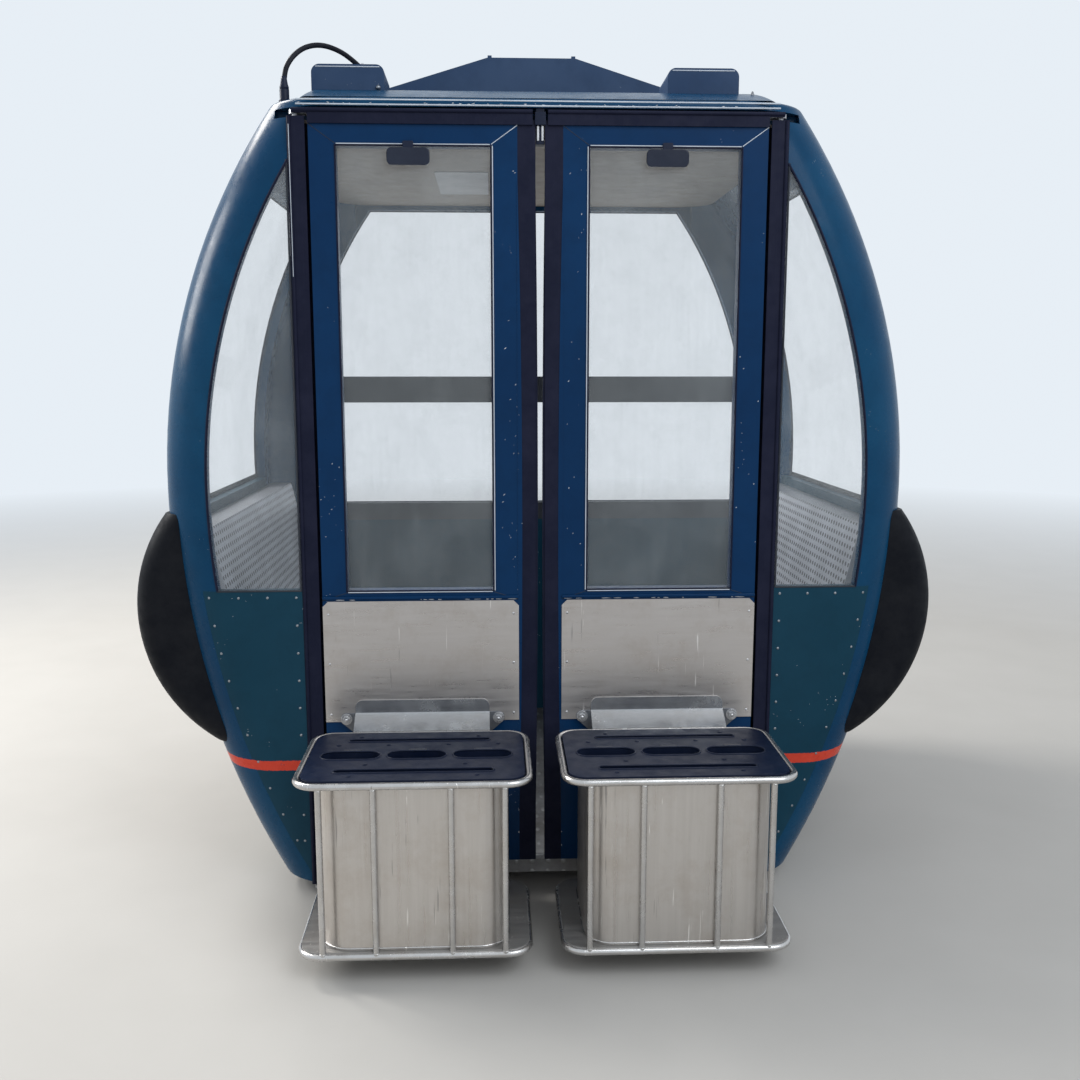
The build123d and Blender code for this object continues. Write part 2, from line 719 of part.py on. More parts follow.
def make_benches():
    room = hull(WALL + FIT)
    for name, side in SIDES:
        with BuildPart() as seat:
            with BuildSketch(Plane.XZ):
                with BuildLine():
                    Polyline(
                        (side * SEAT_FRONT, level(SEAT_HEIGHT)),
                        (side * WAIST_HALF, level(SEAT_HEIGHT)),
                        (side * WAIST_HALF, level(SEAT_HEIGHT - SEAT_SHEET)),
                        (side * (SEAT_FRONT + SEAT_SHEET), level(SEAT_HEIGHT - SEAT_SHEET)),
                        (side * (SEAT_FRONT + SEAT_SHEET), level(SEAT_HEIGHT - SEAT_LIP)),
                        (side * SEAT_FRONT, level(SEAT_HEIGHT - SEAT_LIP)),
                        close=True,
                    )
                make_face()
            extrude(amount=SEAT_HALF_LENGTH, both=True)
            for y_side in (-1, 1):
                y = y_side * STAY_SPACING / 2
                with BuildSketch(Plane.XZ.offset(-y)):
                    with BuildLine():
                        Polyline(
                            (side * STAY_FRONT, level(SEAT_HEIGHT - SEAT_SHEET)),
                            (side * WAIST_HALF, level(SEAT_HEIGHT - SEAT_SHEET)),
                            (side * WAIST_HALF, level(STAY_FOOT)),
                            close=True,
                        )
                    make_face()
                extrude(amount=STAY_THICKNESS / 2, both=True)
            add(room, mode=Mode.INTERSECT)
        finish(seat.part, f"seat_{name}")

        with BuildPart() as back:
            with BuildSketch(Plane.XZ):
                with BuildLine():
                    Polyline(
                        (side * BACK_FOOT, level(SEAT_HEIGHT + FIT)),
                        (side * (BACK_FOOT + BACK_SHEET), level(SEAT_HEIGHT + FIT)),
                        (side * (BACK_TOP_X + BACK_SHEET), level(BACK_TOP - BACK_SHEET)),
                        (side * WAIST_HALF, level(BACK_TOP - BACK_SHEET)),
                        (side * WAIST_HALF, level(BACK_TOP)),
                        (side * BACK_TOP_X, level(BACK_TOP)),
                        close=True,
                    )
                make_face()
            extrude(amount=SEAT_HALF_LENGTH, both=True)
            add(room, mode=Mode.INTERSECT)
        finish(back.part, f"seat_back_{name}")


make_posts()
make_side_walls()
make_end_walls()
make_rear_wall()
make_floor()
make_roof()
make_beam()
make_vents()
make_cable()
make_jambs()
make_arms()
make_leaves()
make_baskets()
make_bumpers()
make_benches()
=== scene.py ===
import json
import math
import random

import bmesh
import bpy
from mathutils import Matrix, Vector
from mathutils.bvhtree import BVHTree


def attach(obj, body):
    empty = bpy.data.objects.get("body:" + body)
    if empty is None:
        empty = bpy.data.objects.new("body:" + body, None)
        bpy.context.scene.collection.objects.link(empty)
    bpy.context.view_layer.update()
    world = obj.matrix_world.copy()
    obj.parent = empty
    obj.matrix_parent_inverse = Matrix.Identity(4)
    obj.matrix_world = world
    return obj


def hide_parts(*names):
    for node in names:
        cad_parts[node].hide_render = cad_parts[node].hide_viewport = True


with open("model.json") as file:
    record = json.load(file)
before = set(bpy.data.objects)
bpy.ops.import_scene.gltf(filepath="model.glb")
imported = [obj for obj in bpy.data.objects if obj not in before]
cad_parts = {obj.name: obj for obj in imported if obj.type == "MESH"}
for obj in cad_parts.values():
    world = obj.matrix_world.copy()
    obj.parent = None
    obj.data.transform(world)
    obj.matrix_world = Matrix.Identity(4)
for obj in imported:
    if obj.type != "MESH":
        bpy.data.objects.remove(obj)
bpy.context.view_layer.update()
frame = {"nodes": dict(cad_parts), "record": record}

# The cabin's own measures in metres. Heights are above its underside.
MOUNT_HEIGHT = 2.310
WAIST_HEIGHT = 1.080
WAIST_HALF = 0.995
UPPER_RADIUS = 1.686
LOWER_RADIUS = 2.250
FRONT = -0.700
REAR = 0.700
OPENING_HALF = 0.624
POST_UPPER_WIDTH = 0.135
POST_LOWER_WIDTH = 0.095
POST_END = 0.500
BELT_HEIGHT = 0.818
END_SILL_TOP = 1.000
END_WINDOW_TOP = 1.900
FRAME_BOTTOM = 2.006
LEAF_OUTER = 0.572
LEAF_INNER = 0.057
SEAL_EDGE = 0.012
BOW = 0.010
BOW_REACH = 0.85
LEAF_BOTTOM = 0.060
LEAF_TOP = 2.000
STILE = 0.065
WINDOW_BOTTOM = 0.816
WINDOW_TOP = 1.938
KICK_BOTTOM = 0.461
KICK_TOP = 0.789
KICK_SHEET = 0.003
LEDGE_HEIGHT = 0.7985
HEADER_START = 0.019
HEADER_END = 0.610
HEADER_TOP = 2.019
HEADER_DEPTH = 0.006
JAMB_BEAD_X = 0.618
LEAF_MIDDLE = 0.3145
BRACKET_HALF = 0.1785
EAR_RADIUS = 0.016
EAR_HEIGHT = 0.470
EAR_SHEET = 0.0045
EAR_BOLT = 0.024
WEB_X = 0.1783
BASKET_Y = -0.945
BASKET_FRONT_Y = -1.1215
BASKET_TOP = 0.455
OVAL_PITCH = 0.162
SLOT_OFFSET = 0.107
CABLE_DIAMETER = 0.013
STRIPE_HEIGHT = 0.340
STRIPE_HALF = 0.0135
BACKDROP = (0.80, 0.86, 0.92)
SIDES = (("left", -1), ("right", 1))

dice = random.Random(7)


def level(height):
    return height - MOUNT_HEIGHT


def half_width(height, inset=0.0):
    """Half the cabin's width at a height, on a skin drawn in by inset."""
    radius = UPPER_RADIUS if height >= WAIST_HEIGHT else LOWER_RADIUS
    rise = height - WAIST_HEIGHT
    return WAIST_HALF - radius + math.sqrt((radius - inset) ** 2 - rise**2)


def bow(height, most):
    """How far a bowed edge stands in from the straight one at a height."""
    middle = (LEAF_BOTTOM + LEAF_TOP) / 2
    rise = (height - middle) / (LEAF_TOP - middle)
    return most * max(0.0, 1 - (rise / BOW_REACH) ** 2)


# Camera
camera = bpy.data.objects.new("camera", bpy.data.cameras.new("camera"))
bpy.context.collection.objects.link(camera)
camera.data.sensor_width = 36.0
camera.data.lens = 36.0 * 1081 / 1080
camera.location = (-0.12, -3.50, -0.92)
camera.rotation_euler = (math.radians(90 - 8.94), 0, math.radians(-2.44))
bpy.context.scene.camera = camera


# Finishes
class Finish:
    """A principled material whose pattern is built from nodes in object space."""

    def __init__(self, name, colour, roughness=0.4, metallic=0.0, **sockets):
        self.material = bpy.data.materials.new(name)
        self.material.use_nodes = True
        self.tree = self.material.node_tree
        self.shader = self.tree.nodes["Principled BSDF"]
        self.set("Base Color", (*colour, 1.0))
        self.set("Roughness", roughness)
        self.set("Metallic", metallic)
        for socket, value in sockets.items():
            self.set(socket.replace("_", " "), value)
        self.place = self.add("ShaderNodeTexCoord").outputs["Object"]

    def add(self, kind, inputs=(), **settings):
        node = self.tree.nodes.new(kind)
        for key, value in settings.items():
            setattr(node, key, value)
        for key, value in dict(inputs).items():
            self.feed(node.inputs[key], value)
        return node

    def feed(self, socket, value):
        if isinstance(value, bpy.types.NodeSocket):
            self.tree.links.new(value, socket)
        else:
            socket.default_value = value

    def set(self, socket, value):
        self.feed(self.shader.inputs[socket], value)

    def stretch(self, scale, turn=(0, 0, 0)):
        inputs = {"Vector": self.place, "Scale": scale, "Rotation": turn}
        return self.add("ShaderNodeMapping", inputs).outputs["Vector"]

    def noise(self, scale, detail=3.0, rough=0.55, place=None):
        inputs = {"Vector": place or self.place, "Scale": scale}
        inputs.update({"Detail": detail, "Roughness": rough})
        return self.add("ShaderNodeTexNoise", inputs).outputs["Fac"]

    def cells(self, scale, place=None, randomness=1.0):
        inputs = {"Vector": place or self.place, "Scale": scale, "Randomness": randomness}
        return self.add("ShaderNodeTexVoronoi", inputs).outputs["Distance"]

    def span(self, value, low, high, bottom=0.0, top=1.0):
        inputs = {"Value": value, "From Min": low, "From Max": high}
        inputs.update({"To Min": bottom, "To Max": top})
        return self.add("ShaderNodeMapRange", inputs).outputs["Result"]

    def sum(self, operation, a, b=0.0):
        return self.add("ShaderNodeMath", {0: a, 1: b}, operation=operation).outputs[0]

    def blend(self, factor, a, b):
        colours = [(*c, 1.0) if isinstance(c, tuple) else c for c in (a, b)]
        node = self.add("ShaderNodeMix", data_type="RGBA")
        self.feed(node.inputs["Factor"], factor)
        self.feed(node.inputs[6], colours[0])
        self.feed(node.inputs[7], colours[1])
        return node.outputs[2]

    def axes(self):
        return self.add("ShaderNodeSeparateXYZ", {"Vector": self.place}).outputs

    def bump(self, height, distance, strength=1.0):
        inputs = {"Height": height, "Distance": distance, "Strength": strength}
        self.set("Normal", self.add("ShaderNodeBump", inputs).outputs["Normal"])


def paint(name, colour, lift, roughness=0.3, stripe=False, chips=0.0):
    """Old paint: slow fade, grime, small chips to a pale primer, and a band where asked."""
    gloss = {"Coat_Weight": 0.03, "Coat_Roughness": 0.12, "Specular_IOR_Level": 0.09}
    f = Finish(name, colour, roughness, **gloss)
    fade = f.span(f.noise(2.2, 4), 0.35, 0.7)
    base = f.blend(fade, colour, lift)
    grime = f.span(f.noise(14, 6, 0.7), 0.45, 0.8, 0.0, 0.35)
    base = f.blend(grime, base, tuple(c * 0.55 for c in colour))
    axes = f.axes()
    if stripe:
        off = f.sum("ABSOLUTE", f.sum("SUBTRACT", axes["Z"], level(STRIPE_HEIGHT)))
        ragged = f.sum("ADD", off, f.span(f.noise(260, 2), 0.3, 0.7, -0.0012, 0.0012))
        deep = f.sum("LESS_THAN", f.sum("ABSOLUTE", axes["Y"]), 0.672)
        lining = f.sum("MULTIPLY", deep, f.sum("LESS_THAN", f.sum("ABSOLUTE", axes["X"]), 0.74))
        near = f.sum("LESS_THAN", ragged, STRIPE_HALF)
        inside = f.sum("MULTIPLY", near, f.sum("SUBTRACT", 1.0, lining))
        worn = f.sum("LESS_THAN", f.noise(38, 5, 0.75), 0.66)
        band = f.blend(f.noise(60, 3), (0.50, 0.040, 0.022), (0.62, 0.070, 0.040))
        base = f.blend(f.sum("MULTIPLY", inside, worn), base, band)
    speck = f.sum("LESS_THAN", f.cells(95), 0.055 + chips)
    rare = f.sum("GREATER_THAN", f.noise(9, 2), 0.60)
    mark = f.sum("MULTIPLY", speck, rare)
    base = f.blend(f.sum("MULTIPLY", mark, 0.8), base, (0.62, 0.66, 0.70))
    f.set("Base Color", base)
    f.set("Roughness", f.span(f.noise(30, 5), 0.3, 0.75, roughness - 0.03, roughness + 0.10))
    height = f.sum("ADD", f.sum("MULTIPLY", f.noise(420, 2), 0.15), f.sum("MULTIPLY", mark, -1.0))
    f.bump(height, 0.0004, 0.5)
    return f.material


def rubber(name, colour, lift, ridge=0.0):
    f = Finish(name, colour, 0.55, Specular_IOR_Level=0.1)
    dust = f.span(f.noise(11, 6, 0.7), 0.4, 0.75)
    f.set("Base Color", f.blend(dust, colour, lift))
    f.set("Roughness", f.span(f.noise(40, 4), 0.3, 0.7, 0.42, 0.7))
    grain = f.noise(700, 2)
    if ridge:
        along = f.stretch((1, 1, 0.004))
        grain = f.sum("ADD", f.sum("MULTIPLY", f.noise(ridge, 2, 0.5, along), 3.0), grain)
    f.bump(grain, 0.0003, 0.5)
    return f.material


def metal(name, colour, roughness, grain, scratches=0.0, dent=0.0, streak=0.82):
    """Brushed metal with stains, hair scratches and shallow dents."""
    f = Finish(name, colour, roughness, 0.9)
    brushed = f.noise(90, 4, 0.6, f.stretch(grain))
    base = f.blend(f.span(brushed, 0.3, 0.7), tuple(c * streak for c in colour), colour)
    stain = f.span(f.noise(7, 6, 0.75), 0.48, 0.8, 0.0, 0.6)
    base = f.blend(stain, base, tuple(c * k for c, k in zip(colour, (0.72, 0.66, 0.60))))
    rough = f.span(brushed, 0.3, 0.7, roughness - 0.05, roughness + 0.1)
    height = f.sum("MULTIPLY", brushed, 0.35)
    for k, lean in enumerate((0.25, -0.5, 0.9) if scratches else ()):
        swept = f.stretch((1, 1, 0.035), (0.1 * k, lean, 0))
        hair = f.span(f.noise(170, 2, 0.4, swept), 0.70, 0.74)
        part = f.span(f.noise(5 + 2 * k, 3), 0.58 - scratches * 0.2, 0.64 - scratches * 0.2)
        line = f.sum("MULTIPLY", hair, part)
        tone = (0.95, 0.92, 0.88) if k else (0.24, 0.22, 0.21)
        base = f.blend(f.sum("MULTIPLY", line, 0.55), base, tone)
        rough = f.sum("ADD", rough, f.sum("MULTIPLY", line, 0.2))
        height = f.sum("SUBTRACT", height, f.sum("MULTIPLY", line, 0.6))
    if dent:
        height = f.sum("ADD", height, f.sum("MULTIPLY", f.noise(3.5, 2), dent))
    f.set("Base Color", base)
    f.set("Roughness", rough)
    f.bump(height, 0.0006, 0.5)
    return f.material


def plastic(name, colour, lift, roughness=0.45, grain=500.0):
    f = Finish(name, colour, roughness, Specular_IOR_Level=0.2)
    f.set("Base Color", f.blend(f.span(f.noise(9, 5, 0.7), 0.35, 0.75), colour, lift))
    f.set("Roughness", f.span(f.noise(26, 4), 0.3, 0.7, roughness - 0.08, roughness + 0.15))
    f.bump(f.noise(grain, 2), 0.0003, 0.6)
    return f.material


def clear(name, tint):
    """Clear acrylic with fine wiping scratches and a little dust."""
    f = Finish(name, tint, 0.06, Specular_IOR_Level=0.9)
    wipe = f.noise(60, 3, 0.6, f.stretch((1, 1, 0.08), (0, 0.5, 0)))
    dust = f.span(f.noise(6, 6, 0.75), 0.45, 0.85, 0.0, 0.07)
    f.set("Roughness", f.span(wipe, 0.55, 0.75, 0.05, 0.14))
    f.set("Alpha", f.sum("ADD", f.span(wipe, 0.45, 0.8, 0.085, 0.105), dust))
    f.bump(f.sum("MULTIPLY", f.noise(4, 2), 0.6), 0.0008, 0.25)
    return f.material


def perforated(name, colour, flat):
    """Pale sheet with rows of round holes, as on the benches; the holes get a near-black painted
    shade.
    """
    f = Finish(name, colour, 0.38)
    axes = f.axes()
    across = axes["X"] if flat else axes["Z"]
    spots = f.add("ShaderNodeCombineXYZ", {"X": across, "Y": axes["Y"]}).outputs[0]
    inputs = {"Vector": spots, "Scale": 44.0, "Randomness": 0.0}
    hole = f.add("ShaderNodeTexVoronoi", inputs, voronoi_dimensions="2D").outputs["Distance"]
    # Near-black in the holes: painted shade, not a colour of the sheet.
    hole_shade = f.sum("LESS_THAN", hole, 0.28)
    worn = f.blend(f.span(f.noise(8, 5), 0.35, 0.7), colour, tuple(c * 0.72 for c in colour))
    f.set("Base Color", f.blend(hole_shade, worn, (0.03, 0.032, 0.036)))
    f.bump(f.sum("SUBTRACT", 1.0, hole_shade), 0.0015, 0.7)
    return f.material


def tread(name, colour):
    """Dull floor sheet with raised lozenges and trodden dirt."""
    f = Finish(name, colour, 0.45, 0.85)
    lozenge = f.cells(32, place=f.stretch((1.0, 0.45, 1.0), (0, 0, 0.785)), randomness=0.1)
    raised = f.span(lozenge, 0.2, 0.3, 1.0, 0.0)
    dirt = f.span(f.noise(5, 6, 0.7), 0.4, 0.8)
    base = f.blend(dirt, colour, (0.10, 0.085, 0.07))
    f.set("Base Color", f.blend(f.sum("MULTIPLY", raised, 0.6), base, (0.55, 0.55, 0.56)))
    f.bump(raised, 0.0012, 0.8)
    return f.material


def zinc(name, colour):
    """Dull galvanised steel with spangle and rust spots."""
    f = Finish(name, colour, 0.42, 0.9)
    node = f.add("ShaderNodeTexVoronoi", {"Vector": f.place, "Scale": 70.0})
    spangle = f.add("ShaderNodeSeparateColor", {0: node.outputs["Color"]}).outputs[0]
    dull, bright = (tuple(c * k for c in colour) for k in (0.75, 1.15))
    base = f.blend(spangle, dull, bright)
    rust = f.span(f.noise(12, 7, 0.8), 0.58, 0.75)
    f.set("Base Color", f.blend(rust, base, (0.16, 0.07, 0.03)))
    f.set("Roughness", f.span(spangle, 0, 1, 0.32, 0.55))
    f.bump(f.noise(150, 4), 0.0004, 0.5)
    return f.material


POST_BLUE = (0.002, 0.038, 0.096)
LEAF_BLUE = (0.001, 0.024, 0.080)
PANEL_TEAL = (0.005, 0.038, 0.066)
finishes = {
    "post_paint": paint("post_paint", POST_BLUE, (0.005, 0.056, 0.124), 0.26, stripe=True),
    "door_paint": paint("door_paint", LEAF_BLUE, (0.002, 0.031, 0.098), 0.30, chips=0.02),
    "panel_paint": paint("panel_paint", PANEL_TEAL, (0.008, 0.046, 0.078), 0.32, True, 0.02),
    "dark_trim": paint("dark_trim", (0.03, 0.035, 0.045), (0.05, 0.055, 0.065), 0.42),
    "clear_glass": clear("clear_glass", (0.52, 0.56, 0.58)),
    "floor_metal": tread("floor_metal", (0.36, 0.36, 0.37)),
    "galvanised_steel": zinc("galvanised_steel", (0.48, 0.49, 0.51)),
    "ceiling_trim": plastic("ceiling_trim", (0.34, 0.31, 0.275), (0.28, 0.255, 0.23), 0.5, 260),
    "roof_metal": paint("roof_metal", (0.022, 0.048, 0.105), (0.045, 0.078, 0.145), 0.45),
    "black_plastic": plastic("black_plastic", (0.004, 0.008, 0.024), (0.010, 0.016, 0.038), 0.36),
    "black_rubber": rubber("black_rubber", (0.008, 0.009, 0.014), (0.022, 0.023, 0.030)),
    "seat_plastic": perforated("seat_plastic", (0.44, 0.47, 0.54), False),
    "brushed_aluminium": metal(
        "brushed_aluminium", (0.58, 0.55, 0.52), 0.30, (1, 1, 0.03), 0.5, 0.8, 0.9
    ),
    "stainless_steel": metal(
        "stainless_steel", (0.58, 0.57, 0.56), 0.22, (0.3, 0.3, 0.3), 0.3, 1.0, 0.88
    ),
}
# Pale bluish finish for the window sealant beads, also used for pale lines that are painted
# highlights.
sealant_and_highlight = plastic("sealant_and_highlight", (0.55, 0.60, 0.66), (0.40, 0.44, 0.50), 0.4)
primer = plastic("primer", (0.66, 0.68, 0.70), (0.45, 0.47, 0.50), 0.6)
bolt_steel = metal("bolt_steel", (0.62, 0.62, 0.63), 0.28, (1, 1, 1))
dark_mirror = plastic("dark_mirror", (0.012, 0.016, 0.030), (0.020, 0.026, 0.045), 0.12)
bumper_rubber = rubber("bumper_rubber", (0.003, 0.004, 0.007), (0.010, 0.011, 0.014))
seal_rubber = rubber("seal_rubber", (0.007, 0.009, 0.024), (0.013, 0.015, 0.034), ridge=260.0)
bench_top = perforated("bench_top", (0.44, 0.47, 0.54), True)
kick_metal = metal("kick_metal", (0.52, 0.49, 0.47), 0.30, (0.1, 1, 1), 0.3, 2.0, 0.93)
bracket_steel = metal("bracket_steel", (0.56, 0.57, 0.58), 0.20, (0.2, 0.2, 0.2), 0.0, 0.6, 0.95)
tray_metal = metal("tray_metal", (0.40, 0.39, 0.38), 0.55, (0.05, 1, 1), 0.3, 1.0)
ear_steel = metal("ear_steel", (0.20, 0.21, 0.23), 0.45, (1, 1, 1), 0.2)
rivet_steel = metal("rivet_steel", (0.30, 0.32, 0.35), 0.35, (1, 1, 1))
# Node name starts that take a finish of their own
SPECIAL = {
    "bumper": bumper_rubber,
    "door_jamb": seal_rubber,
    "door_seal": seal_rubber,
    "kick_plate": kick_metal,
    "basket_tray": tray_metal,
    "basket_bracket": bracket_steel,
    "seat_left": bench_top,
    "seat_right": bench_top,
}

for subpart in frame["record"]["subparts"]:
    name = subpart["node"]
    finish = finishes[subpart["material_slot"]]
    for start, own in SPECIAL.items():
        if name.startswith(start):
            finish = own
    for slot in frame["nodes"][name].material_slots:
        slot.material = finish


# Piece makers
def settle(piece, material, body, smooth=True):
    piece.data.materials.append(material)
    if smooth and piece.type == "MESH":
        for face in piece.data.polygons:
            face.use_smooth = True
    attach(piece, body)
    return piece


def from_bmesh(name, mesh, material, body, smooth=True):
    data = bpy.data.meshes.new(name)
    mesh.to_mesh(data)
    mesh.free()
    piece = bpy.data.objects.new(name, data)
    bpy.context.collection.objects.link(piece)
    return settle(piece, material, body, smooth)


def solid(name, mesh, material, body):
    """Flat-faced piece with its faces turned outwards."""
    bmesh.ops.recalc_face_normals(mesh, faces=mesh.faces)
    return from_bmesh(name, mesh, material, body, False)


def soften(piece, width, segments=2):
    bevel = piece.modifiers.new("edges", "BEVEL")
    bevel.width = width
    bevel.segments = segments
    bevel.limit_method = "ANGLE"
    return piece


def tube(name, runs, radius, material, body, closed=False):
    """Round bead along one or more runs of points."""
    data = bpy.data.curves.new(name, "CURVE")
    data.dimensions = "3D"
    data.bevel_depth = radius
    data.bevel_resolution = 3
    data.use_fill_caps = True
    for points in runs:
        spline = data.splines.new("POLY")
        spline.points.add(len(points) - 1)
        for point, place in zip(spline.points, points):
            point.co = (*place, 1.0)
        spline.use_cyclic_u = closed
    piece = bpy.data.objects.new(name, data)
    bpy.context.collection.objects.link(piece)
    return settle(piece, material, body)


def prism(mesh, outline, base, across, up, depth):
    """Adds an extruded outline: its points run along across and up, its thickness along depth."""
    low = [mesh.verts.new(Vector(base) + across * u + up * v) for u, v in outline]
    high = [mesh.verts.new(vertex.co + depth) for vertex in low]
    mesh.faces.new(low[::-1])
    mesh.faces.new(high)
    count = len(outline)
    for i in range(count):
        j = (i + 1) % count
        mesh.faces.new((low[i], low[j], high[j], high[i]))


def ring_points(radius, count, turn=0.0):
    steps = (turn + 2 * math.pi * i / count for i in range(count))
    return [(radius * math.cos(a), radius * math.sin(a)) for a in steps]


def facing(normal):
    """Two directions across a surface with this normal."""
    side = Vector((0, 0, 1)).cross(normal)
    if side.length < 1e-3:
        side = Vector((1, 0, 0))
    side.normalize()
    return side, normal.cross(side)


def dome(mesh, place, normal, radius, height, rings=4, count=14):
    """Adds a low round head."""
    side, up = facing(normal)
    rows = []
    for k in range(rings):
        angle = math.pi / 2 * k / rings
        reach, rise = radius * math.cos(angle), height * math.sin(angle)
        spots = ring_points(reach, count)
        rows.append([mesh.verts.new(place + side * u + up * v + normal * rise) for u, v in spots])
    tip = mesh.verts.new(place + normal * height)
    for a, b in zip(rows, rows[1:]):
        for i in range(count):
            j = (i + 1) % count
            mesh.faces.new((a[i], a[j], b[j], b[i]))
    for i in range(count):
        mesh.faces.new((rows[-1][i], rows[-1][(i + 1) % count], tip))
    mesh.faces.new(rows[0][::-1])


def rivets(name, spots, radius, height, material, body, slot):
    mesh = bmesh.new()
    for place, normal in spots:
        dome(mesh, Vector(place), Vector(normal), radius, height)
    return from_bmesh(name, mesh, material, body)


def bolts(name, spots, across, height, material, body):
    """Washer with a hexagon head and a small round end."""
    mesh = bmesh.new()
    for place, normal in spots:
        place, normal = Vector(place), Vector(normal)
        side, up = facing(normal)
        prism(mesh, ring_points(across * 0.95, 24), place, side, up, normal * height * 0.22)
        head = place + normal * height * 0.22
        prism(mesh, ring_points(across * 0.58, 6, 0.3), head, side, up, normal * height * 0.6)
        dome(mesh, head + normal * height * 0.6, normal, across * 0.3, height * 0.25, 3, 12)
    return soften(from_bmesh(name, mesh, material, body, False), 0.0006, 2)


def rounded(width, height, radius, steps=5):
    """Outline of a rectangle with round corners, centred."""
    spots = []
    for k, (sx, sy) in enumerate(((1, 1), (-1, 1), (-1, -1), (1, -1))):
        for i in range(steps + 1):
            a = math.pi / 2 * (k + i / steps)
            spots.append((
                sx * (width / 2 - radius) + radius * math.cos(a),
                sy * (height / 2 - radius) + radius * math.sin(a),
            ))
    return spots


X, Y, Z = Vector((1, 0, 0)), Vector((0, 1, 0)), Vector((0, 0, 1))


def plate(name, places, outline, thickness, material, body, bevel=0.001):
    """Flat plates on the door side, each from the plane at its place towards the viewer."""
    mesh = bmesh.new()
    for place in places:
        prism(mesh, outline, place, X, Z, -Y * thickness)
    return soften(solid(name, mesh, material, body), bevel)


def chips(name, spots, body, y, slot="door_paint"):
    """Small ragged flakes where the paint is gone: x, height, length, width, lean."""
    mesh = bmesh.new()
    for x, height, length, width, lean in spots:
        outline = []
        for u, v in ring_points(1.0, 7, dice.random()):
            k = 0.65 + 0.5 * dice.random()
            a, b = u * k * length / 2, v * k * width / 2
            outline.append((
                a * math.cos(lean) - b * math.sin(lean),
                a * math.sin(lean) + b * math.cos(lean),
            ))
        prism(mesh, outline, (x, y, level(height)), X, Z, -Y * 0.0004)
    return solid(name, mesh, primer, body)


graph = bpy.context.evaluated_depsgraph_get()
trees = {}


def hit(node, start, direction):
    """Point and normal where a ray meets a CAD node."""
    if node not in trees:
        trees[node] = BVHTree.FromObject(frame["nodes"][node], graph)
    place, normal, _, _ = trees[node].ray_cast(Vector(start), Vector(direction))
    if place is None:
        return None
    if normal.dot(Vector(direction)) > 0:
        normal = -normal
    return place, normal


# Roof cable: the route's points in metres
ROUTE = [
    (-0.645 + x, -0.590 + y, level(2.092) + z)
    for x, y, z in (
        (0, 0, 0),
        (0, 0, 0.040),
        (0.015, 0.017, 0.080),
        (0.045, 0.041, 0.114),
        (0.085, 0.072, 0.130),
        (0.128, 0.105, 0.124),
        (0.160, 0.134, 0.107),
        (0.175, 0.149, 0.095),
    )
]
cable_data = bpy.data.curves.new("roof_cable_bend", "CURVE")
cable_data.dimensions = "3D"
cable_data.bevel_depth = CABLE_DIAMETER / 2
cable_data.bevel_resolution = 5
cable_data.resolution_u = 10
cable_data.use_fill_caps = True
cable_line = cable_data.splines.new("NURBS")
cable_line.points.add(len(ROUTE) - 1)
for point, place in zip(cable_line.points, ROUTE):
    point.co = (*place, 1.0)
cable_line.order_u = 3
cable_line.use_endpoint_u = True
cable = bpy.data.objects.new("roof_cable_bend", cable_data)
bpy.context.collection.objects.link(cable)
settle(cable, finishes["black_rubber"], "cabin")
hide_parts("roof_cable")

# Tapered strain relief: height and radius of each ring
BOOT = ((0.0, 0.0115), (0.006, 0.0118), (0.012, 0.0098), (0.024, 0.0078), (0.032, 0.0070))
BOOT_SIDES = 20
boot = bmesh.new()
rows = []
for rise, radius in BOOT:
    spots = ring_points(radius, BOOT_SIDES)
    rows.append([boot.verts.new(Vector(ROUTE[0]) + X * u + Y * v + Z * rise) for u, v in spots])
for a, b in zip(rows, rows[1:]):
    for i in range(BOOT_SIDES):
        j = (i + 1) % BOOT_SIDES
        boot.faces.new((a[i], a[j], b[j], b[i]))
boot.faces.new(rows[0][::-1])
boot.faces.new(rows[-1])
from_bmesh("cable_boot", boot, finishes["black_plastic"], "cabin")

# Gaskets round the fixed windows
STEPS = 24
for name, side in SIDES:
    top = WAIST_HEIGHT + math.sqrt(
        (UPPER_RADIUS - POST_UPPER_WIDTH) ** 2 - (UPPER_RADIUS - WAIST_HALF + OPENING_HALF) ** 2
    )
    y = FRONT + 0.001
    arc = [BELT_HEIGHT + (top - BELT_HEIGHT) * i / STEPS for i in range(STEPS + 1)]
    curve = [(side * half_width(h, POST_UPPER_WIDTH), y, level(h)) for h in arc]
    tube(f"side_window_gasket_{name}", [curve], 0.0032, seal_rubber, "cabin")
    sill = [(side * (OPENING_HALF + 0.002), y, level(BELT_HEIGHT)), curve[0]]
    upright = [(side * (OPENING_HALF + 0.003), y, level(h)) for h in (BELT_HEIGHT, top)]
    tube(
        f"side_window_trim_{name}", [sill, upright], 0.0026,
        finishes["dark_trim"], "cabin",
    )
    ends = []
    for y_side in (-1, 1):
        heights = [END_SILL_TOP + (END_WINDOW_TOP - END_SILL_TOP) * i / 16 for i in range(17)]
        ends.append([(side * half_width(h, 0.001), y_side * POST_END, level(h)) for h in heights])
    for h in (END_SILL_TOP, END_WINDOW_TOP):
        x = side * half_width(h, 0.001)
        ends.append([(x, y_side * POST_END, level(h)) for y_side in (-1, 1)])
    tube(f"end_window_gasket_{name}", ends, 0.0035, seal_rubber, "cabin")

REAR_GASKET_Y = REAR - 0.0036
rear_runs = []
for low, high in ((0.883, 1.270), (1.362, 1.975)):
    heights = [low + (high - low) * i / 14 for i in range(15)]
    for side in (-1, 1):
        rear_runs.append(
            [(side * half_width(h, POST_UPPER_WIDTH), REAR_GASKET_Y, level(h)) for h in heights]
        )
    for h in (low, high):
        reach = half_width(h, POST_UPPER_WIDTH)
        rear_runs.append([(k * reach, REAR_GASKET_Y, level(h)) for k in (-1, 1)])
tube("rear_window_gasket", rear_runs, 0.0035, seal_rubber, "cabin")

